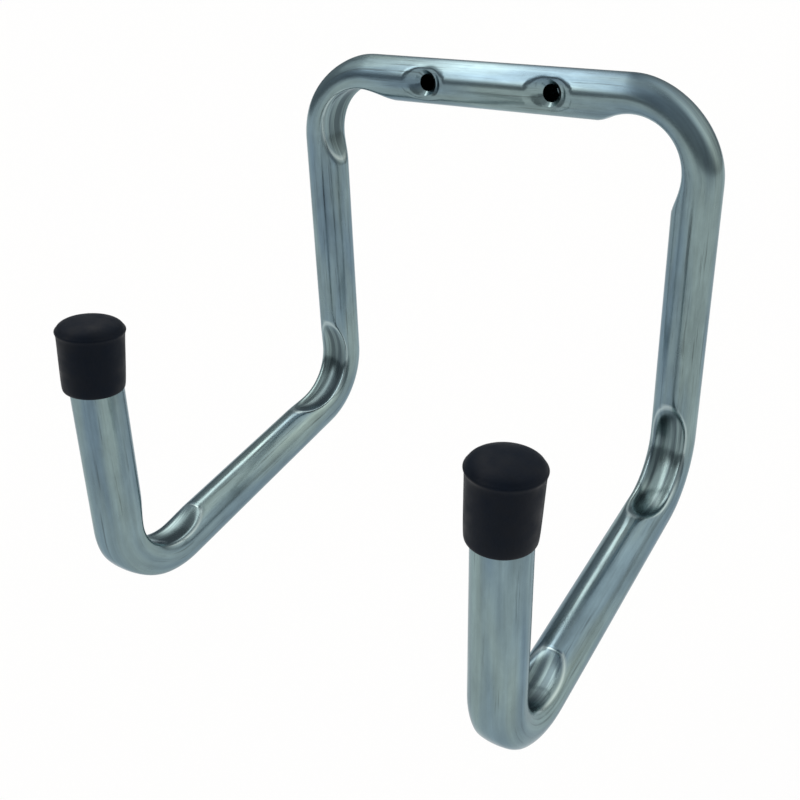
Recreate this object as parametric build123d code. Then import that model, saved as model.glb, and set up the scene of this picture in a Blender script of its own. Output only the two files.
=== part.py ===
from build123d import *
from math import radians, sin, cos, sqrt
import os

os.makedirs("parts", exist_ok=True)

# Double wall hook: one tube bent into a bar, two posts, two arms and two
# upturned tips, with a soft cap on each tip. The origin is the midpoint of
# the two screw holes on the wall plane; the room is towards -Y.

# Tube
TUBE_D = 16.0           # outside diameter
TUBE_WALL = 1.2

# Centreline, measured between the corners where the straight runs would meet
POST_SPACING = 152.0    # from one post to the other
POST_DROP = 135.0       # from the bar down to the arms
ARM_REACH = 127.5       # from the post out to the tip
TIP_RISE = 93.6         # from the arm up to the open end of the tube
ARM_DROP_ANGLE = 10.6   # degrees the arms fall towards the front
ARM_TOE_IN_ANGLE = 1.6  # degrees the arms close in towards the front
TIP_LEAN_ANGLE = 1.7    # degrees the tips lean back to the wall

# Centreline radius of the bends
BEND_R_TOP = 25.5
BEND_R_LOW = 22.5
BEND_R_TIP = 20.0

# The groove that the bending wheel leaves along the inside of every bend
GROOVE_DEPTH_TOP = 6.0
GROOVE_DEPTH_LOW = 4.5
GROOVE_DEPTH_TIP = 3.5
CROWN_R_TOP = 28.0      # crown across the rim of each wheel
CROWN_R_LOW = 12.0
CROWN_R_TIP = 20.0
WHEEL_WIDTH = 16.0
WHEEL_SHIFT_TOP = 6.0   # the wheel of a top bend is small and sits nearer the corner
GROOVE_LIP_R = 1.4

# The outside of every bend is pulled a little flat
FLAT_DEPTH = 1.1
FLAT_SHIFT = 8.0        # how far the flat's centre lies inside the bend's centre
FLAT_CROWN_R = 20.0
FLAT_HALF_ANGLE = 38.0

# Screw holes through the bar, each in a round pressed pad
HOLE_SPACING = 49.0
HOLE_D = 6.0
SINK_D = 8.8            # countersink on the pad
SINK_DEPTH = 1.2
PAD_D = 8.8             # flat floor of the pad
PAD_DEPTH = 2.3
PAD_EDGE = 3.8          # width of the soft slope around the floor

# Soft end caps
CAP_LIP_D = 20.4        # widest circle, where the shoulder starts
CAP_FOOT_D = 18.8       # at the open end
CAP_SIDE = 20.0         # from the open end up to the widest circle
CAP_SHOULDER_IN = 1.3   # how far the shoulder draws in
CAP_SHOULDER_UP = 2.3   # and how far it rises
CAP_DOME = 3.3          # rise of the top above the widest circle
CAP_TOP_WALL = 3.8      # thickness over the end of the tube
CAP_FOOT_R = 1.1
CAP_FIT = 0.0           # the soft cap grips the tube face to face


def unit(v):
    return v * (1 / v.length)


# Corners of the centreline, from the right tip round to the left tip
half_w = POST_SPACING / 2
wall_gap = TUBE_D / 2
toe_in = radians(ARM_TOE_IN_ANGLE)
arm_level = cos(radians(ARM_DROP_ANGLE))
arm_dir = Vector(-sin(toe_in) * arm_level, -cos(toe_in) * arm_level, -sin(radians(ARM_DROP_ANGLE)))
tip_dir = Vector(0, sin(radians(TIP_LEAN_ANGLE)), cos(radians(TIP_LEAN_ANGLE)))
bar_end = Vector(half_w, -wall_gap, 0)
post_end = bar_end - Vector(0, 0, POST_DROP)
arm_end = post_end + arm_dir * ARM_REACH
tip_end = arm_end + tip_dir * TIP_RISE
right_run = [tip_end, arm_end, post_end, bar_end]
left_run = [Vector(-p.X, p.Y, p.Z) for p in reversed(right_run)]
corners = right_run + left_run
radii = [BEND_R_TIP, BEND_R_LOW, BEND_R_TOP, BEND_R_TOP, BEND_R_LOW, BEND_R_TIP]
depths = [GROOVE_DEPTH_TIP, GROOVE_DEPTH_LOW, GROOVE_DEPTH_TOP]
shifts = [0, 0, WHEEL_SHIFT_TOP]
crowns = [CROWN_R_TIP, CROWN_R_LOW, CROWN_R_TOP]
depths += depths[::-1]
shifts += shifts[::-1]
crowns += crowns[::-1]
centreline = FilletPolyline(*corners, radius=radii)


def swept_rod(diameter):
    start = Plane(origin=tip_end, z_dir=-tip_dir)
    return sweep(start * Circle(diameter / 2), path=centreline)


def bend_frame(i):
    """Centre of a bend, with X pointing out to the tube and Z along the bend's axis."""
    to_before = unit(corners[i] - corners[i + 1])
    to_after = unit(corners[i + 2] - corners[i + 1])
    inward = unit(to_before + to_after)
    across = sqrt(1 - inward.dot(to_before) ** 2)
    centre = corners[i + 1] + inward * (radii[i] / across)
    return Plane(origin=centre, x_dir=-inward, z_dir=unit(to_before.cross(to_after)))


def crowned_line(rim, crown, half):
    side = rim - crown + sqrt(crown ** 2 - half ** 2)
    return ThreePointArc((side, -half), (rim, 0), (side, half))


def bending_wheel(i, grow):
    """Disc with a crowned rim, pressed into the inside of a bend."""
    rim = radii[i] - TUBE_D / 2 + depths[i] - shifts[i] + grow
    half = WHEEL_WIDTH / 2 + grow
    with BuildPart() as wheel:
        with BuildSketch(Plane.XZ):
            with BuildLine():
                edge = crowned_line(rim, crowns[i] + grow, half)
                Polyline(edge @ 1, (0, half), (0, -half), edge @ 0)
            make_face()
        revolve(axis=Axis.Z)
    return bend_frame(i) * Pos(shifts[i], 0, 0) * wheel.part


def bend_flat(i, grow):
    """What lies outside the flattened back of a bend."""
    rim = radii[i] + TUBE_D / 2 - FLAT_DEPTH - grow + FLAT_SHIFT
    half = TUBE_D / 2 + 1
    with BuildPart() as shoe:
        with BuildSketch(Plane.XZ.rotated((0, 0, -FLAT_HALF_ANGLE))):
            with BuildLine():
                edge = crowned_line(rim, FLAT_CROWN_R - grow, half)
                Polyline(edge @ 1, (rim + TUBE_D / 2, half), (rim + TUBE_D / 2, -half), edge @ 0)
            make_face()
        revolve(axis=Axis.Z, revolution_arc=2 * FLAT_HALF_ANGLE)
    return bend_frame(i) * Pos(-FLAT_SHIFT, 0, 0) * shoe.part


def pad_punch(x, grow):
    """Round punch with a flat nose and a soft shoulder, pressed into the front of the bar."""
    nose = PAD_D / 2 + grow
    edge = nose + PAD_EDGE
    depth = PAD_DEPTH + grow
    back = edge + 1.0
    with BuildPart() as punch:
        with BuildSketch(Plane.XZ):
            with BuildLine():
                Line((0, -depth), (nose, -depth))
                Spline((nose, -depth), (edge, grow), tangents=[(1, 0), (1, 0.25)])
                Polyline((edge, grow), (back, grow), (back, 4), (0, 4), (0, -depth))
            make_face()
        revolve(axis=Axis.Z)
    return Plane(origin=(x, -TUBE_D, 0), z_dir=(0, -1, 0)) * punch.part


def screw_hole(x):
    """Clearance hole through both walls and the countersink on the pad."""
    floor = Plane(origin=(x, -TUBE_D + PAD_DEPTH, 0), z_dir=(0, 1, 0))
    bore = floor.offset(-4) * Cylinder(HOLE_D / 2, TUBE_D + 8, align=(Align.CENTER, Align.CENTER, Align.MIN))
    sink = floor * Cone(SINK_D / 2, HOLE_D / 2, SINK_DEPTH, align=(Align.CENTER, Align.CENTER, Align.MIN))
    return [bore, sink]


hole_xs = [-HOLE_SPACING / 2, HOLE_SPACING / 2]

# Outside of the tube: round, then grooved by the wheels, with rounded lips
outside = swept_rod(TUBE_D)
for i in range(len(radii)):
    wheel = bending_wheel(i, 0)
    grooved = outside - wheel
    lips = new_edges(outside, wheel, combined=grooved)
    outside = fillet(lips, GROOVE_LIP_R) - bend_flat(i, 0)
for x in hole_xs:
    outside = outside - pad_punch(x, 0)

# Inside of the tube: the same press, one wall deeper
inside = swept_rod(TUBE_D - 2 * TUBE_WALL)
for i in range(len(radii)):
    inside = inside - bending_wheel(i, TUBE_WALL) - bend_flat(i, TUBE_WALL)
for x in hole_xs:
    inside = inside - pad_punch(x, TUBE_WALL)

hook_frame = outside - inside
for x in hole_xs:
    for tool in screw_hole(x):
        hook_frame = hook_frame - tool


def end_cap(end):
    """Soft cap with a wide shoulder, a tapering side and a low domed top."""
    lip = CAP_LIP_D / 2
    foot = CAP_FOOT_D / 2
    bore = TUBE_D / 2 + CAP_FIT
    top = CAP_TOP_WALL
    widest = top - CAP_DOME
    bottom = widest - CAP_SIDE
    with BuildPart() as cap:
        with BuildSketch(Plane.XZ):
            with BuildLine():
                Polyline((0, top), (0, 0), (bore, 0), (bore, bottom), (foot, bottom), (lip, widest))
                brow = (lip - CAP_SHOULDER_IN, widest + CAP_SHOULDER_UP)
                Spline((lip, widest), brow, (0, top), tangents=[(0, 1), (-1, 0)])
            make_face()
            foot_edge = vertices().sort_by_distance((foot, bottom))[0]
            fillet(foot_edge, CAP_FOOT_R)
        revolve(axis=Axis.Z)
    return Plane(origin=end, z_dir=tip_dir) * cap.part


pieces = {
    "hook_frame": hook_frame,
    "end_cap_right": end_cap(tip_end),
    "end_cap_left": end_cap(Vector(-tip_end.X, tip_end.Y, tip_end.Z)),
}

for name, shape in pieces.items():
    shape.label = name
    export_step(shape, f"parts/{name}.step")
    box = shape.bounding_box()
    print(name, round(shape.volume), [round(v, 1) for v in (*box.min, *box.max)])
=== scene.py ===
"""Dresses the double wall hook: the bent and pressed tube, its two soft end caps, and the stage.

Everything is in metres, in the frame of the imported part: the origin lies midway between the two
screw holes on the wall plane, the room is towards -Y and +Z is up.
"""

from math import atan2, ceil, cos, hypot, pi, radians, sin, sqrt, tan

import bmesh
import bpy
from mathutils import Matrix, Vector


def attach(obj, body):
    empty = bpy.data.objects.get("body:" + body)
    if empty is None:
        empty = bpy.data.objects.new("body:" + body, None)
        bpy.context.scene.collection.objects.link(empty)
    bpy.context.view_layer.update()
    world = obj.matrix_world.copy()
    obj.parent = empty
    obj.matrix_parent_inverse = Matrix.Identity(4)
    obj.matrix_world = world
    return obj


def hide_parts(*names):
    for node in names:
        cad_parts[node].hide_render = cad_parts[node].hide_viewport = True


bl_info = {
    "name": "Double wall hook",
    "version": (1, 0, 0),
    "blender": (4, 5, 0),
    "location": "3D View > Sidebar > Wall hook",
    "description": "Builds and dresses a wall hook bent from one zinc-plated tube",
    "category": "Object",
}

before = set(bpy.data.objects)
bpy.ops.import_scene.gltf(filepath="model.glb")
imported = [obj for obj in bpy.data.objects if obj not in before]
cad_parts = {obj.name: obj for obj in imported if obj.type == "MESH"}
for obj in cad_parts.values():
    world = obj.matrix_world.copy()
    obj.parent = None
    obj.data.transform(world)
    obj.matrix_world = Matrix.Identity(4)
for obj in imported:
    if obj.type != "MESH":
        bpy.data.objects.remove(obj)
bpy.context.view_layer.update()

MM = 0.001
TUBE = "bent_tube"
CAP_RIGHT = "soft_cap_right"
CAP_LEFT = "soft_cap_left"
SLEEVE = "sleeve"           # attribute: the unrolled place of a point on the tube
PRESSED = "pressed"         # attribute: how deep a wheel pressed a point, from 0 to 1

# One entry for each pair of bends, from the tip to the bar
BEND_RADIUS = (20.0 * MM, 22.5 * MM, 25.5 * MM)
GROOVE_DEPTH = (3.5 * MM, 4.5 * MM, 6.0 * MM)
GROOVE_CROWN = (20.0 * MM, 12.0 * MM, 28.0 * MM)
GROOVE_SHIFT = (0.0, 0.0, 6.0 * MM)
GROOVE_LIP = 3.0 * MM       # width of the soft join along a groove
GROOVE_FULL = 0.6           # share of its depth at which a groove counts as fully pressed
WHEEL_REACH = 12.0 * MM     # how far a wheel marks the straight run beyond its bend

FLAT_DEPTH = 1.1 * MM
FLAT_SHIFT = 8.0 * MM
FLAT_CROWN = 20.0 * MM
FLAT_HALF_ANGLE = radians(38.0)
FLAT_EDGE = 0.5 * MM        # width of the soft join along a flattened back

PAD_JOIN = 2.0 * MM         # width of the soft join round a pad
PAD_MARGIN = 1.0 * MM       # how far the close rings run on past a pad

# How the caps were pushed on by hand, the right one first
CAP_SEAT = (-1.6 * MM, 1.8 * MM)                # how far each sits above its place
CAP_ASKEW = (radians(2.0), radians(5.0))        # how far each is turned in the picture's plane
VIEW_HEADING = Vector((-0.497, 0.868, 0.0))

FLOOR_HALF = 12.0
FLOOR_GLOW = 0.85           # share of plain white in the floor that the camera sees

# The studio, by direction as the object sees it
OVERHEAD_FROM = Vector((-0.4545, -0.305, 0.837))
SKY = (
    (0.52, (0.250, 0.262, 0.275)),
    (0.68, (0.340, 0.353, 0.366)),
    (1.00, (0.470, 0.485, 0.500)),
)
GLOW_FROM = (0.55, 0.45, 0.70)
GLOW_TINT = (1.50, 1.44, 1.34)
STRIP_X = -0.4545           # the plane in which the strip passes overhead
STRIP_TINT = (1.0, 0.96, 0.92)
WHITE = (1.0, 1.0, 1.0)

# The camera, fitted to the photograph
CAMERA_PLACE = (0.155432, -0.285064, 0.043378)
CAMERA_HEADING = 0.51995
CAMERA_DIP = 0.41681
CAMERA_ROLL = 0.00381
CAMERA_SHIFT = (-0.10539, -0.07351)
CAMERA_SENSOR = 36.0

# Marks along the tube: name, stretch along it, what sizes it, scale, detail and roughness
MARKS = (
    ("Lines", 0.03, "Line Density", 600.0, 4.0, 0.6),
    ("Bands", 0.12, "Band Size", 120.0, 2.0, 0.5),
    ("Patches", 0.35, "Band Size", 130.0, 6.0, 0.65),
)


def length(name, text, default):
    """A length that a user may change."""
    return bpy.props.FloatProperty(
        name=name, description=text, default=default, min=0.0, unit="LENGTH", subtype="DISTANCE")


def angle(name, text, degrees):
    """An angle that a user may change, given in degrees."""
    return bpy.props.FloatProperty(
        name=name, description=text, default=radians(degrees), unit="ROTATION", subtype="ANGLE")


def tint(name, text, default):
    """A colour that a user may change."""
    return bpy.props.FloatVectorProperty(
        name=name, description=text, default=default, size=3, min=0.0, max=1.0, subtype="COLOR")


def number(name, text, default, least):
    """A plain number that a user may change."""
    return bpy.props.FloatProperty(name=name, description=text, default=default, min=least)


class WallHookTube(bpy.types.PropertyGroup):
    """Sizes and colours of the tube."""

    diameter: length("Tube diameter", "Outside diameter of the tube", 16.0 * MM)
    wall: length("Tube wall", "Thickness of the tube's wall", 1.2 * MM)
    post_spacing: length("Post spacing", "From one post's centreline to the other's", 152.0 * MM)
    post_drop: length("Post drop", "From the bar down to the arms' corner", 135.0 * MM)
    arm_reach: length("Arm reach", "From the post out to the tip's corner", 127.5 * MM)
    tip_rise: length("Tip rise", "From the arm's corner up to the tube's open end", 93.6 * MM)
    arm_drop: angle("Arm drop", "How far the arms fall towards the front", 10.6)
    arm_toe_in: angle("Arm toe-in", "How far the arms close in towards the front", 1.6)
    tip_lean: angle("Tip lean", "How far the tips lean back to the wall", 1.7)
    hole_spacing: length("Hole spacing", "Between the two screw holes", 49.0 * MM)
    hole_diameter: length("Hole diameter", "Clearance for the screw", 6.0 * MM)
    sink_diameter: length("Countersink diameter", "Widest circle of the countersink", 8.8 * MM)
    sink_depth: length("Countersink depth", "How deep the countersink goes", 1.2 * MM)
    pad_depth: length("Pad depth", "How deep the round pads are pressed into the bar", 2.3 * MM)
    pad_edge: length("Pad edge", "Width of the soft slope round a pad", 3.8 * MM)
    blue_zinc: tint("Blue zinc", "Cooler tint of the plating", (0.140, 0.214, 0.264))
    green_zinc: tint("Green zinc", "Warmer tint of the plating", (0.225, 0.308, 0.308))
    # Painted shade: a dark tint laid into the grooves where the bends are pressed in
    groove_painted_shade: tint("Groove shade", "Painted shade in the grooves", (0.045, 0.068, 0.075))
    # Painted highlight: a bright tint laid along the lips of the grooves
    lip_painted_highlight: tint("Lip highlight", "Painted highlight along the lips of the grooves", (0.63, 0.75, 0.75))


class WallHookCap(bpy.types.PropertyGroup):
    """Sizes and colour of the soft end caps."""

    lip: length("Lip diameter", "Widest circle of the cap", 20.4 * MM)
    foot: length("Foot diameter", "Diameter at the open end", 18.8 * MM)
    side: length("Side", "From the open end up to the widest circle", 20.0 * MM)
    dome: length("Dome", "Rise of the top above the widest circle", 3.3 * MM)
    top_wall: length("Top wall", "Thickness over the tube's end", 3.8 * MM)
    soft_black: tint("Soft black", "Colour of the vinyl", (0.0012, 0.0038, 0.0090))


class WallHookStage(bpy.types.PropertyGroup):
    """Floor, light and camera."""

    floor_drop: length("Floor drop", "How far the floor lies under the bar", 420.0 * MM)
    floor_white: tint("Floor", "Colour of the floor", (0.92, 0.92, 0.92))
    overhead_light: number("Overhead light", "Strength of the wide light from above", 0.33, 0.0)
    overhead_width: angle("Overhead width", "How wide that light is seen from the object", 66.0)
    strip_glow: number("Strip glow", "Brightness of the long soft strip overhead", 4.2, 0.0)
    lens: number("Lens", "Focal length of the camera in millimetres", 39.756, 1.0)


# Places along the tube


def path_corners(tube):
    """Where the straight runs would meet, from the right tip round to the left tip."""
    toe, drop, lean = tube.arm_toe_in, tube.arm_drop, tube.tip_lean
    arm = Vector((-sin(toe) * cos(drop), -cos(toe) * cos(drop), -sin(drop)))
    tip = Vector((0.0, sin(lean), cos(lean)))
    bar_end = Vector((tube.post_spacing / 2, -tube.diameter / 2, 0.0))
    post_end = bar_end - Vector((0.0, 0.0, tube.post_drop))
    arm_end = post_end + arm * tube.arm_reach
    right = [arm_end + tip * tube.tip_rise, arm_end, post_end, bar_end]
    return right + [Vector((-p.x, p.y, p.z)) for p in reversed(right)]


class Bend:
    """One bend: its centre, its turn, and a frame with X out to the tube and Z along the axis."""

    def __init__(self, before, corner, after, radius):
        ahead = (corner - before).normalized()
        onward = (after - corner).normalized()
        inward = (onward - ahead).normalized()
        self.radius = radius
        self.turn = ahead.angle(onward)
        self.axis = ahead.cross(onward).normalized()
        self.centre = corner + inward * (radius / cos(self.turn / 2))
        cut = radius * tan(self.turn / 2)
        self.start = corner - ahead * cut
        self.end = corner + onward * cut
        turned = Matrix((-inward, self.axis.cross(-inward), self.axis)).transposed()
        self.frame = Matrix.Translation(self.centre) @ turned.to_4x4()


def make_bends(tube):
    """The six bends, from the right tip round to the left tip."""
    corners = path_corners(tube)
    radii = BEND_RADIUS + BEND_RADIUS[::-1]
    return [Bend(*corners[i:i + 3], radii[i]) for i in range(len(radii))]


# Smooth joins of two surfaces


def blend_over(a, b, width):
    """The larger of two values, with a soft join."""
    closeness = max(0.0, 1.0 - abs(a - b) / width)
    return max(a, b) + closeness * closeness * width / 4


def blend_under(a, b, width):
    """The smaller of two values, with a soft join."""
    return -blend_over(-a, -b, width)


def ease(t):
    """Soft step from 0 to 1."""
    t = min(1.0, max(0.0, t))
    return t * t * (3 - 2 * t)


def crowned(rim, crown, across):
    """Radius of a wheel with a crowned rim, at a distance across from its middle plane."""
    return rim - crown + sqrt(crown ** 2 - across ** 2)


# The tube


def mesh_from(bm, name):
    """Turns a finished bmesh into a mesh."""
    mesh = bpy.data.meshes.new(name)
    bm.to_mesh(mesh)
    bm.free()
    return mesh


class TubeMaker:
    """Runs a ring along the path and keeps each point's unrolled place in an attribute."""

    SIDES = 72
    FINE = 1.0 * MM         # ring spacing in and near the bends
    PAD = 0.7 * MM          # ring spacing over the pads
    COARSE = 3.0 * MM       # ring spacing on plain runs
    EVEN_ROUNDS = 4         # how often the points round a hole are evened out

    def __init__(self, tube):
        self.tube = tube
        self.bm = bmesh.new()
        self.place = self.bm.verts.layers.float_vector.new(SLEEVE)
        self.pressed = self.bm.verts.layers.float.new(PRESSED)
        self.travelled = 0.0
        corners = path_corners(tube)
        start, ahead = corners[0], (corners[1] - corners[0]).normalized()
        side = Vector((1.0, 0.0, 0.0))
        side = (side - ahead * side.dot(ahead)).normalized()
        turned = Matrix((side, ahead.cross(side), ahead)).transposed()
        made = bmesh.ops.create_circle(
            self.bm, cap_ends=False, radius=tube.diameter / 2, segments=self.SIDES,
            matrix=Matrix.Translation(start) @ turned.to_4x4())
        for v in made["verts"]:
            local = turned.transposed() @ (v.co - start)
            v[self.place] = Vector((local.x, local.y, 0.0))
        self.ring = list({e for v in made["verts"] for e in v.link_edges})
        self.here = start

    def advance(self, centre, axis, step, turn, count, measure):
        """Spins or slides the ring on and writes how far along the tube each new point is."""
        self.bm.verts.ensure_lookup_table()
        before = len(self.bm.verts)
        made = bmesh.ops.spin(
            self.bm, geom=self.ring, cent=centre, axis=axis, dvec=step, angle=turn, steps=count,
            use_merge=False, use_normal_flip=False, use_duplicate=False)
        self.ring = [g for g in made["geom_last"] if isinstance(g, bmesh.types.BMEdge)]
        self.bm.verts.ensure_lookup_table()
        for v in self.bm.verts[before:]:
            around = v[self.place]
            v[self.place] = Vector((around.x, around.y, self.travelled + measure(v.co)))

    def slide(self, target, spacing):
        """A straight run to the target."""
        run = target - self.here
        count = max(1, ceil(run.length / spacing))
        ahead, start = run.normalized(), self.here.copy()
        self.advance(
            start, (0, 0, 1), run / count, 0.0, count, lambda co: (co - start).dot(ahead))
        self.travelled += run.length
        self.here = target

    def turn(self, bend):
        """Round a bend."""
        first = (bend.start - bend.centre).normalized()
        second = bend.axis.cross(first)
        count = ceil(bend.radius * bend.turn / self.FINE)

        def measure(co):
            arm = co - bend.centre
            return bend.radius * atan2(arm.dot(second), arm.dot(first))

        self.advance(bend.centre, bend.axis, (0, 0, 0), bend.turn, count, measure)
        self.travelled += bend.radius * bend.turn
        self.here = bend.end

    def points_near(self, bend, axle):
        """The points of a bend and the runs next to it, with place and radius about an axle."""
        inverse = axle.inverted()
        diameter = self.tube.diameter
        for v in self.bm.verts:
            local = inverse @ v.co
            out = hypot(local.x, local.y)
            if abs(local.z) < diameter and out < bend.radius + 2 * diameter:
                yield v, local, out

    def press_groove(self, bend, depth, crown, shift):
        """A wheel with a crowned rim, pressed into the inside of a bend."""
        rim = bend.radius - self.tube.diameter / 2 + depth - shift
        axle = bend.frame @ Matrix.Translation((shift, 0, 0))
        for v, local, out in self.points_near(bend, axle):
            if abs(local.z) > crown or local.x < 0:
                continue
            wheel = crowned(rim, crown, local.z)
            if out < wheel + GROOVE_LIP:
                grown = blend_over(out, wheel, GROOVE_LIP) / out
                v.co = axle @ Vector((local.x * grown, local.y * grown, local.z))
                # How far the point is pressed in; the zinc paints shade in the groove and a
                # highlight along its lip from this
                v[self.pressed] = ease((grown - 1) * out / (GROOVE_FULL * depth))

    def press_flat(self, bend):
        """The outside of a bend is pulled a little flat."""
        rim = bend.radius + self.tube.diameter / 2 - FLAT_DEPTH + FLAT_SHIFT
        axle = bend.frame @ Matrix.Translation((-FLAT_SHIFT, 0, 0))
        for v, local, out in self.points_near(bend, axle):
            if abs(atan2(local.y, local.x)) > FLAT_HALF_ANGLE:
                continue
            shoe = crowned(rim, FLAT_CROWN, local.z)
            if out > shoe - FLAT_EDGE:
                grown = blend_under(out, shoe, FLAT_EDGE) / out
                v.co = axle @ Vector((local.x * grown, local.y * grown, local.z))

    def press_pad(self, x):
        """A round punch pressed into the front of the bar."""
        tube = self.tube
        floor = tube.sink_diameter / 2
        front = -tube.diameter
        for v in self.bm.verts:
            if abs(v.co.z) > tube.diameter or v.co.y > front / 2:
                continue
            out = hypot(v.co.x - x, v.co.z)
            if out < floor + tube.pad_edge:
                punch = front + tube.pad_depth * (1 - ease((out - floor) / tube.pad_edge))
                v.co.y = blend_over(v.co.y, punch, PAD_JOIN)

    def cut_round(self, x, radius, front):
        """Opens a round hole in the front or back of the bar and returns its edge."""
        half = self.tube.diameter / 2

        def is_here(co):
            return abs(co.z) < half and (co.y < -half) == front and abs(co.x - x) < 2 * radius

        def away(co):
            return hypot(co.x - x, co.z)

        def seat(v):
            """Puts a point back on the round of the bar."""
            depth = sqrt(half ** 2 - v.co.z ** 2)
            v.co.y = -half - depth if front else -half + depth

        def snap(v):
            """Moves a point onto the circle of the hole."""
            out = away(v.co)
            v.co.x = x + (v.co.x - x) * radius / out
            v.co.z = v.co.z * radius / out
            seat(v)

        for v in self.bm.verts:
            if is_here(v.co) and abs(away(v.co) - radius) < 0.5 * self.PAD:
                snap(v)
        middles = ((f, f.calc_center_median()) for f in self.bm.faces)
        inside = [f for f, mid in middles if is_here(mid) and away(mid) < radius]
        bmesh.ops.delete(self.bm, geom=inside, context="FACES")
        edge = [e for e in self.bm.edges if e.is_boundary and all(
            is_here(v.co) and away(v.co) < radius + self.FINE for v in e.verts)]
        ring = {v for e in edge for v in e.verts}
        for v in ring:
            snap(v)
        around = [v for v in self.bm.verts if v not in ring and is_here(v.co)
                  and away(v.co) < radius + 3 * self.PAD]
        for _ in range(self.EVEN_ROUNDS):
            bmesh.ops.smooth_vert(
                self.bm, verts=around, factor=0.5,
                use_axis_x=True, use_axis_y=True, use_axis_z=True)
            for v in around:
                seat(v)
        return edge

    def drill(self, x):
        """The screw hole through both walls, with its pressed pad and the countersink on it."""
        tube = self.tube
        sink = self.cut_round(x, tube.sink_diameter / 2, True)
        self.press_pad(x)
        made = bmesh.ops.extrude_edge_only(self.bm, edges=sink)
        narrow = tube.hole_diameter / tube.sink_diameter
        rim = []
        for g in made["geom"]:
            if isinstance(g, bmesh.types.BMVert):
                g.co.x = x + (g.co.x - x) * narrow
                g.co.z *= narrow
                g.co.y += tube.sink_depth
            elif isinstance(g, bmesh.types.BMEdge) and g.is_boundary:
                rim.append(g)
        back = self.cut_round(x, tube.hole_diameter / 2, False)
        for e in sink + rim + back:
            e.smooth = False

    def finish(self):
        """Closes the shell and returns its mesh."""
        bmesh.ops.remove_doubles(self.bm, verts=self.bm.verts, dist=0.005 * MM)
        bmesh.ops.recalc_face_normals(self.bm, faces=self.bm.faces)
        for f in self.bm.faces:
            f.smooth = True
        return mesh_from(self.bm, TUBE)


def slide_bar(maker, bend):
    """The bar between the two top bends, with close rings over the pads."""
    tube = maker.tube
    half = tube.sink_diameter / 2 + tube.pad_edge + PAD_MARGIN
    y, z = maker.here.y, maker.here.z
    stops = [(maker.here.x - WHEEL_REACH, maker.FINE)]
    for x in (tube.hole_spacing / 2, -tube.hole_spacing / 2):
        stops += [(x + half, maker.COARSE), (x - half, maker.PAD)]
    stops.append((bend.start.x + WHEEL_REACH, maker.COARSE))
    for x, spacing in stops:
        maker.slide(Vector((x, y, z)), spacing)
    maker.slide(bend.start, maker.FINE)


def make_tube(tube):
    """The whole tube, bent, grooved, flattened, padded and drilled."""
    maker = TubeMaker(tube)
    bends = make_bends(tube)
    for bend in bends:
        ahead = (bend.start - maker.here).normalized()
        along_bar = abs(ahead.x) > 0.9
        if along_bar:
            slide_bar(maker, bend)
        else:
            if maker.travelled:
                maker.slide(maker.here + ahead * WHEEL_REACH, maker.FINE)
            maker.slide(bend.start - ahead * WHEEL_REACH, maker.COARSE)
            maker.slide(bend.start, maker.FINE)
        maker.turn(bend)
    end = path_corners(tube)[-1]
    maker.slide(maker.here + (end - maker.here).normalized() * WHEEL_REACH, maker.FINE)
    maker.slide(end, maker.COARSE)
    wheels = list(zip(GROOVE_DEPTH, GROOVE_CROWN, GROOVE_SHIFT))
    for bend, wheel in zip(bends, wheels + wheels[::-1]):
        maker.press_groove(bend, *wheel)
        maker.press_flat(bend)
    for x in (-tube.hole_spacing / 2, tube.hole_spacing / 2):
        maker.drill(x)
    return maker.finish()


# Materials


class Wires:
    """Adds nodes to a tree. A socket takes another node's output, a number or a tint."""

    def __init__(self, tree):
        self.nodes = tree.nodes
        self.links = tree.links

    def add(self, kind, **settings):
        """A new node with its settings."""
        node = self.nodes.new("ShaderNode" + kind)
        for name, value in settings.items():
            setattr(node, name, value)
        return node

    def feed(self, socket, source):
        """Joins a socket to an output, or sets its value."""
        if isinstance(source, bpy.types.NodeSocket):
            self.links.new(source, socket)
        elif socket.type == "RGBA":
            socket.default_value = (*source, 1.0)
        else:
            socket.default_value = source

    def fill(self, node, sources):
        """Feeds a node's inputs by name and returns the node's outputs."""
        for name, source in sources.items():
            self.feed(node.inputs[name], source)
        return node.outputs

    def mix(self, factor, a, b, blend="MIX"):
        """Mixes two tints."""
        node = self.add("Mix", data_type="RGBA", blend_type=blend)
        return self.fill(node, {"Factor": factor, "A": a, "B": b})["Result"]

    def spread(self, value, low, high, to_low, to_high):
        """Maps a value from one range onto another."""
        return self.fill(self.add("MapRange"), {
            "Value": value, "From Min": low, "From Max": high,
            "To Min": to_low, "To Max": to_high})["Result"]

    def math(self, operation, *sources):
        """One sum on one or two values."""
        node = self.add("Math", operation=operation)
        return self.fill(node, dict(enumerate(sources)))["Value"]

    def product(self, first, *others):
        """The product of several values."""
        for other in others:
            first = self.math("MULTIPLY", first, other)
        return first

    def bump(self, height, strength, distance):
        """A normal that follows a height."""
        return self.fill(self.add("Bump"), {
            "Height": height, "Strength": strength, "Distance": distance})["Normal"]


def new_material(name):
    """A new material, the wires to its nodes and its Principled shader."""
    material = bpy.data.materials.new(name)
    material.use_nodes = True
    wires = Wires(material.node_tree)
    return material, wires, wires.nodes["Principled BSDF"]


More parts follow.
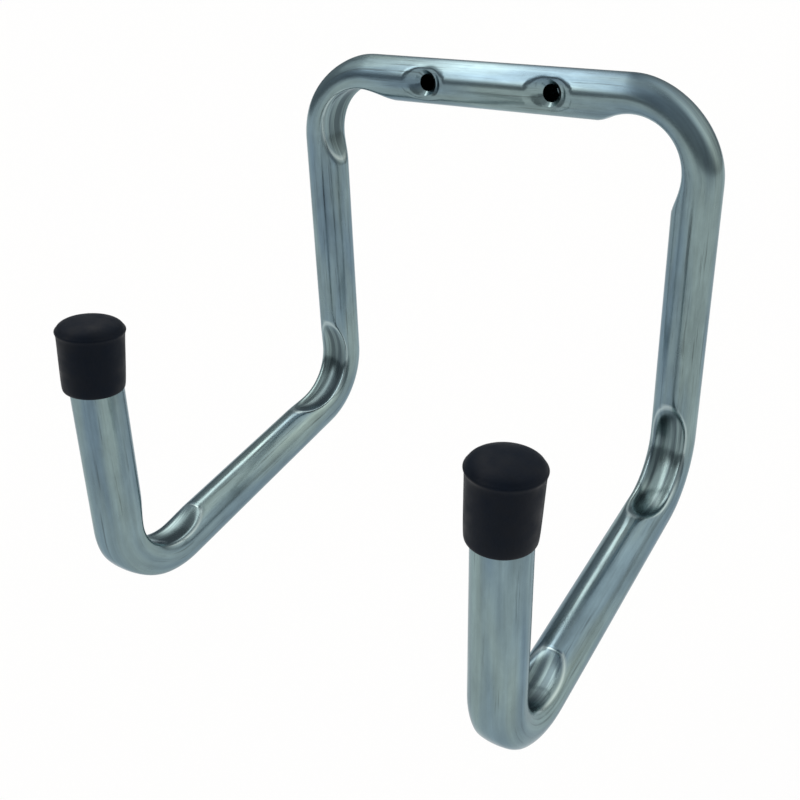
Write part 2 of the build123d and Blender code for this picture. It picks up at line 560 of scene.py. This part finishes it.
def drawn_marks():
    """Marks that run along the tube: fine drawn lines, broad bands of tint and dull patches."""
    group = bpy.data.node_groups.new("drawn marks", "ShaderNodeTree")
    face = group.interface
    for name, value in (("Line Density", 1.0), ("Band Size", 1.0), ("Seed", 0.0)):
        socket = face.new_socket(name, in_out="INPUT", socket_type="NodeSocketFloat")
        socket.default_value = value
    for name, *_ in MARKS:
        face.new_socket(name, in_out="OUTPUT", socket_type="NodeSocketFloat")
    wires = Wires(group)
    inside = group.nodes.new("NodeGroupInput").outputs
    outside = group.nodes.new("NodeGroupOutput").inputs
    place = wires.add("Attribute", attribute_name=SLEEVE).outputs["Vector"]
    for name, stretch, sized_by, scale, detail, rough in MARKS:
        drawn = wires.fill(wires.add("Mapping"), {"Vector": place, "Scale": (1, 1, stretch)})
        texture = wires.fill(wires.add("TexNoise", noise_dimensions="4D"), {
            "Vector": drawn["Vector"], "W": inside["Seed"], "Detail": detail, "Roughness": rough,
            "Scale": wires.math("MULTIPLY", inside[sized_by], scale)})
        wires.feed(outside[name], texture["Fac"])
    return group


def place_marks(wires, group, density, seed):
    """The drawn marks in a material, with values of their own."""
    marks = wires.add("Group", node_tree=group)
    return wires.fill(marks, {"Line Density": density, "Seed": seed})


def zinc_material(tube):
    """Bright zinc plating with a blue-green tint and marks drawn along the tube, with painted shade
    in the grooves and a painted highlight along their lips.
    """
    material, wires, shader = new_material("zinc plating")
    group = drawn_marks()
    broad = place_marks(wires, group, 1.0, 0.0)
    fine = place_marks(wires, group, 2.0, 5.0)
    streaks = place_marks(wires, group, 0.45, 9.0)
    pressed = wires.add("Attribute", attribute_name=PRESSED).outputs["Fac"]

    # The plating: two tints in bands, shaded by drawn lines, scratches and mottling
    bands = wires.spread(broad["Bands"], 0.38, 0.62, 0.0, 1.0)
    lines = wires.spread(broad["Lines"], 0.3, 0.7, 0.84, 1.10)
    scratches = wires.spread(fine["Lines"], 0.58, 0.66, 1.0, 0.62)
    mottle = wires.spread(fine["Patches"], 0.35, 0.65, 0.82, 1.14)
    tinted = wires.mix(bands, tube.blue_zinc, tube.green_zinc)
    plating = wires.mix(1.0, tinted, wires.product(lines, scratches, mottle), "MULTIPLY")

    # The grooves: painted shade with lighter streaks, and a painted highlight along the lip where
    # the wheel let go
    streak = wires.spread(streaks["Lines"], 0.48, 0.60, 0.0, 1.0)
    streaked_groove_shade = wires.mix(streak, tube.groove_painted_shade, tube.green_zinc)
    grooved = wires.mix(wires.spread(pressed, 0.0, 1.0, 0.0, 0.85), plating, streaked_groove_shade)
    # Painted highlight: a bright tint in a narrow band along each groove's lip, where the pressing
    # fades out
    rising = wires.spread(pressed, 0.02, 0.12, 0.0, 1.0)
    falling = wires.spread(pressed, 0.12, 0.40, 0.42, 0.0)
    lip_highlighted = wires.mix(wires.product(rising, falling), grooved, tube.lip_painted_highlight)

    wires.fill(shader, {
        "Base Color": lip_highlighted,
        "Metallic": 1.0,
        "Roughness": wires.spread(broad["Patches"], 0.3, 0.7, 0.16, 0.30),
        "Specular Tint": (0.60, 0.68, 0.72),
        "Coat Weight": 0.25,
        "Coat Roughness": 0.18,
        "Normal": wires.bump(broad["Lines"], 0.08, 0.2 * MM),
    })
    return material


def vinyl_material(cap):
    """Satin black vinyl, a little uneven."""
    material, wires, shader = new_material("soft black vinyl")
    place = wires.add("TexCoord").outputs["Object"]
    grain = wires.fill(
        wires.add("TexNoise"), {"Vector": place, "Scale": 220.0, "Detail": 5.0})["Fac"]
    deep = [c * 0.7 for c in cap.soft_black]
    worn = [c * 1.6 for c in cap.soft_black]
    wires.fill(shader, {
        "Base Color": wires.mix(grain, deep, worn),
        "Roughness": wires.spread(grain, 0.3, 0.7, 0.42, 0.62),
        "Specular IOR Level": 0.11,
        "Normal": wires.bump(grain, 0.15, 0.3 * MM),
    })
    return material


# The pieces as objects


def show_piece(name, mesh, material, node):
    """Puts a finished mesh in the scene in place of its CAD node."""
    piece = bpy.data.objects.new(name, mesh)
    bpy.context.scene.collection.objects.link(piece)
    mesh.materials.append(material)
    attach(piece, "root")
    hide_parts(node)
    return piece


def cap_profile(cap, tube, seat):
    """Half of a cap's section, as radius and height over the tube's end.

    It runs from the middle of the bore down to the open end, up the side and over the dome.
    """
    lip, foot, bore = cap.lip / 2, cap.foot / 2, tube.diameter / 2
    top = cap.top_wall
    widest = top - cap.dome
    bottom = widest - cap.side
    return [
        (0.0, -seat), (bore, -seat), (bore, bottom),
        (foot - 1.0 * MM, bottom), (foot - 0.35 * MM, bottom + 0.35 * MM),
        (foot, bottom + 1.4 * MM),
        (lip - 0.45 * MM, widest - 3.0 * MM), (lip - 0.35 * MM, widest - 1.2 * MM),
        (lip, widest - 0.55 * MM), (lip, widest), (lip - 0.45 * MM, widest + 0.45 * MM),
        (lip - 0.9 * MM, widest + 1.3 * MM), (lip - 2.1 * MM, widest + 2.2 * MM),
        (lip * 0.55, top - 0.35 * MM), (lip * 0.25, top - 0.05 * MM), (0.0, top),
    ]


def make_cap(name, cap, tube, end, ahead, seat, askew):
    """Turns a cap's section round the tip, then sets it a little askew, as if pushed on by hand."""
    bm = bmesh.new()
    points = [bm.verts.new((r, 0.0, z)) for r, z in cap_profile(cap, tube, seat)]
    section = [bm.edges.new(pair) for pair in zip(points, points[1:])]
    bmesh.ops.spin(
        bm, geom=section, cent=(0, 0, 0), axis=(0, 0, 1), dvec=(0, 0, 0), angle=2 * pi, steps=64,
        use_merge=True, use_normal_flip=False, use_duplicate=False)
    bmesh.ops.remove_doubles(bm, verts=bm.verts, dist=0.01 * MM)
    bmesh.ops.recalc_face_normals(bm, faces=bm.faces)
    grip = Vector((0.0, 0.0, -cap.side / 2))
    tilt = Matrix.Rotation(askew, 4, VIEW_HEADING)
    tilted = Matrix.Translation(grip) @ tilt @ Matrix.Translation(-grip)
    side = Vector((1.0, 0.0, 0.0))
    turned = Matrix((side, ahead.cross(side), ahead)).transposed().to_4x4()
    place = Matrix.Translation(end + ahead * seat) @ turned @ tilted
    bmesh.ops.transform(bm, matrix=place, verts=bm.verts)
    for f in bm.faces:
        f.smooth = True
    return mesh_from(bm, name)


class WALLHOOK_OT_bend_tube(bpy.types.Operator):
    """Bend, press and drill the tube and plate it with zinc"""

    bl_idname = "wallhook.bend_tube"
    bl_label = "Bend the tube"

    def execute(self, context):
        tube = context.scene.wallhook_tube
        zinc = zinc_material(tube)
        piece = show_piece(TUBE, make_tube(tube), zinc, "hook_frame")
        wall = piece.modifiers.new("wall", "SOLIDIFY")
        wall.thickness = tube.wall
        wall.offset = -1.0
        return {"FINISHED"}


class WALLHOOK_OT_fit_caps(bpy.types.Operator):
    """Push a soft cap over each open end of the tube"""

    bl_idname = "wallhook.fit_caps"
    bl_label = "Fit the end caps"

    def execute(self, context):
        tube, cap = context.scene.wallhook_tube, context.scene.wallhook_cap
        corners = path_corners(tube)
        vinyl = vinyl_material(cap)
        ends = (
            (CAP_RIGHT, "end_cap_right", corners[0], corners[1]),
            (CAP_LEFT, "end_cap_left", corners[-1], corners[-2]),
        )
        for (name, node, end, below), seat, askew in zip(ends, CAP_SEAT, CAP_ASKEW):
            ahead = (end - below).normalized()
            mesh = make_cap(name, cap, tube, end, ahead, seat, askew)
            piece = show_piece(name, mesh, vinyl, node)
            soft = piece.modifiers.new("soft edges", "SUBSURF")
            soft.levels = 2
            soft.render_levels = 2
        return {"FINISHED"}


class WALLHOOK_OT_set_stage(bpy.types.Operator):
    """Lay the floor, light the studio and stand the camera where the photograph was taken"""

    bl_idname = "wallhook.set_stage"
    bl_label = "Set the stage"

    def execute(self, context):
        stage = context.scene.wallhook_stage
        self.lay_floor(context, stage)
        self.hang_light(context, stage)
        self.paint_world(context, stage)
        self.stand_camera(context, stage)
        context.scene.view_settings.view_transform = "Standard"
        return {"FINISHED"}

    def lay_floor(self, context, stage):
        """A pale floor far below, nearly white to the camera and to mirror-like surfaces."""
        bm = bmesh.new()
        bmesh.ops.create_grid(
            bm, x_segments=1, y_segments=1, size=FLOOR_HALF,
            matrix=Matrix.Translation((0.0, 0.0, -stage.floor_drop)))
        mesh = mesh_from(bm, "floor")
        material, wires, shader = new_material("pale floor")
        wires.fill(shader, {
            "Base Color": stage.floor_white, "Roughness": 1.0, "Specular IOR Level": 0.0})
        path = wires.add("LightPath").outputs
        seen = path["Is Camera Ray"]
        for ray in ("Is Glossy Ray", "Is Transmission Ray"):
            seen = wires.math("MAXIMUM", seen, path[ray])
        # Some of the floor's own shade stays in, so it keeps the object's shadow
        both = wires.fill(wires.add("MixShader"), {
            0: wires.spread(seen, 0.0, 1.0, 0.0, FLOOR_GLOW),
            1: shader.outputs["BSDF"],
            2: wires.add("Emission").outputs["Emission"]})
        wires.feed(wires.nodes["Material Output"].inputs["Surface"], both["Shader"])
        mesh.materials.append(material)
        floor = bpy.data.objects.new("floor", mesh)
        context.scene.collection.objects.link(floor)

    def hang_light(self, context, stage):
        """A wide soft light from above."""
        lamp = bpy.data.lights.new("overhead", "SUN")
        lamp.energy = stage.overhead_light
        lamp.angle = stage.overhead_width
        hung = bpy.data.objects.new("overhead", lamp)
        hung.location = OVERHEAD_FROM
        hung.rotation_mode = "QUATERNION"
        hung.rotation_quaternion = hung.location.to_track_quat("Z", "Y")
        context.scene.collection.objects.link(hung)

    def paint_world(self, context, stage):
        """A dim horizon, a soft sky, a glow at the wall side and a long strip overhead."""
        world = bpy.data.worlds.new("studio")
        world.use_nodes = True
        wires = Wires(world.node_tree)
        place = wires.add("TexCoord").outputs["Generated"]
        x, y, z = wires.fill(wires.add("SeparateXYZ"), {"Vector": place})

        ramp = wires.add("ValToRGB")
        stops = ramp.color_ramp.elements
        stops[0].position, stops[1].position = SKY[0][0], SKY[-1][0]
        stops.new(SKY[1][0])
        for stop, (_, colour) in zip(stops, SKY):
            stop.color = (*colour, 1.0)
        sky = wires.fill(ramp, {"Fac": wires.spread(z, -1.0, 1.0, 0.0, 1.0)})["Color"]

        towards = wires.add("VectorMath", operation="DOT_PRODUCT")
        towards = wires.fill(towards, {0: place, 1: GLOW_FROM})["Value"]
        studio = wires.mix(wires.spread(towards, 0.60, 1.00, 0.0, 1.0), sky, GLOW_TINT)

        beside = wires.math("ABSOLUTE", wires.math("ADD", x, -STRIP_X))
        width = wires.spread(beside, 0.06, 0.12, 1.0, 0.0)
        height = wires.spread(z, 0.25, 0.50, 0.0, 1.0)
        reach = wires.spread(y, 0.45, 0.75, 1.0, 0.2)
        bright = [stage.strip_glow * c for c in STRIP_TINT]
        studio = wires.mix(wires.product(width, height, reach), studio, bright)

        # The camera sees plain white above the floor, and the object keeps the studio's light
        seen = wires.add("LightPath").outputs["Is Camera Ray"]
        wires.feed(wires.nodes["Background"].inputs["Color"], wires.mix(seen, studio, WHITE))
        context.scene.world = world

    def stand_camera(self, context, stage):
        """The photograph's camera."""
        lens = bpy.data.cameras.new("camera")
        lens.sensor_width = CAMERA_SENSOR
        lens.lens = stage.lens
        lens.shift_x, lens.shift_y = CAMERA_SHIFT
        lens.clip_start, lens.clip_end = 0.01, 100.0
        camera = bpy.data.objects.new("camera", lens)
        turned = (
            Matrix.Rotation(CAMERA_HEADING, 4, "Z")
            @ Matrix.Rotation(pi / 2 - CAMERA_DIP, 4, "X")
            @ Matrix.Rotation(CAMERA_ROLL, 4, "Z"))
        camera.matrix_world = Matrix.Translation(CAMERA_PLACE) @ turned
        context.scene.collection.objects.link(camera)
        context.scene.camera = camera


class WALLHOOK_PT_panel(bpy.types.Panel):
    """The wall hook's sizes, colours and steps"""

    bl_label = "Wall hook"
    bl_idname = "WALLHOOK_PT_panel"
    bl_space_type = "VIEW_3D"
    bl_region_type = "UI"
    bl_category = "Wall hook"

    def draw(self, context):
        scene = context.scene
        for settings in (scene.wallhook_tube, scene.wallhook_cap, scene.wallhook_stage):
            box = self.layout.box()
            for name in settings.bl_rna.properties.keys():
                if name not in ("rna_type", "name"):
                    box.prop(settings, name)
        for operator in OPERATORS:
            self.layout.operator(operator.bl_idname)


GROUPS = {
    "wallhook_tube": WallHookTube,
    "wallhook_cap": WallHookCap,
    "wallhook_stage": WallHookStage,
}
OPERATORS = (WALLHOOK_OT_bend_tube, WALLHOOK_OT_fit_caps, WALLHOOK_OT_set_stage)


def register():
    for name, group in GROUPS.items():
        bpy.utils.register_class(group)
        setattr(bpy.types.Scene, name, bpy.props.PointerProperty(type=group))
    for operator in OPERATORS:
        bpy.utils.register_class(operator)
    bpy.utils.register_class(WALLHOOK_PT_panel)


def unregister():
    bpy.utils.unregister_class(WALLHOOK_PT_panel)
    for operator in reversed(OPERATORS):
        bpy.utils.unregister_class(operator)
    for name, group in reversed(GROUPS.items()):
        delattr(bpy.types.Scene, name)
        bpy.utils.unregister_class(group)


def main():
    register()
    bpy.ops.wallhook.bend_tube()
    bpy.ops.wallhook.fit_caps()
    bpy.ops.wallhook.set_stage()


if __name__ == "__main__":
    main()
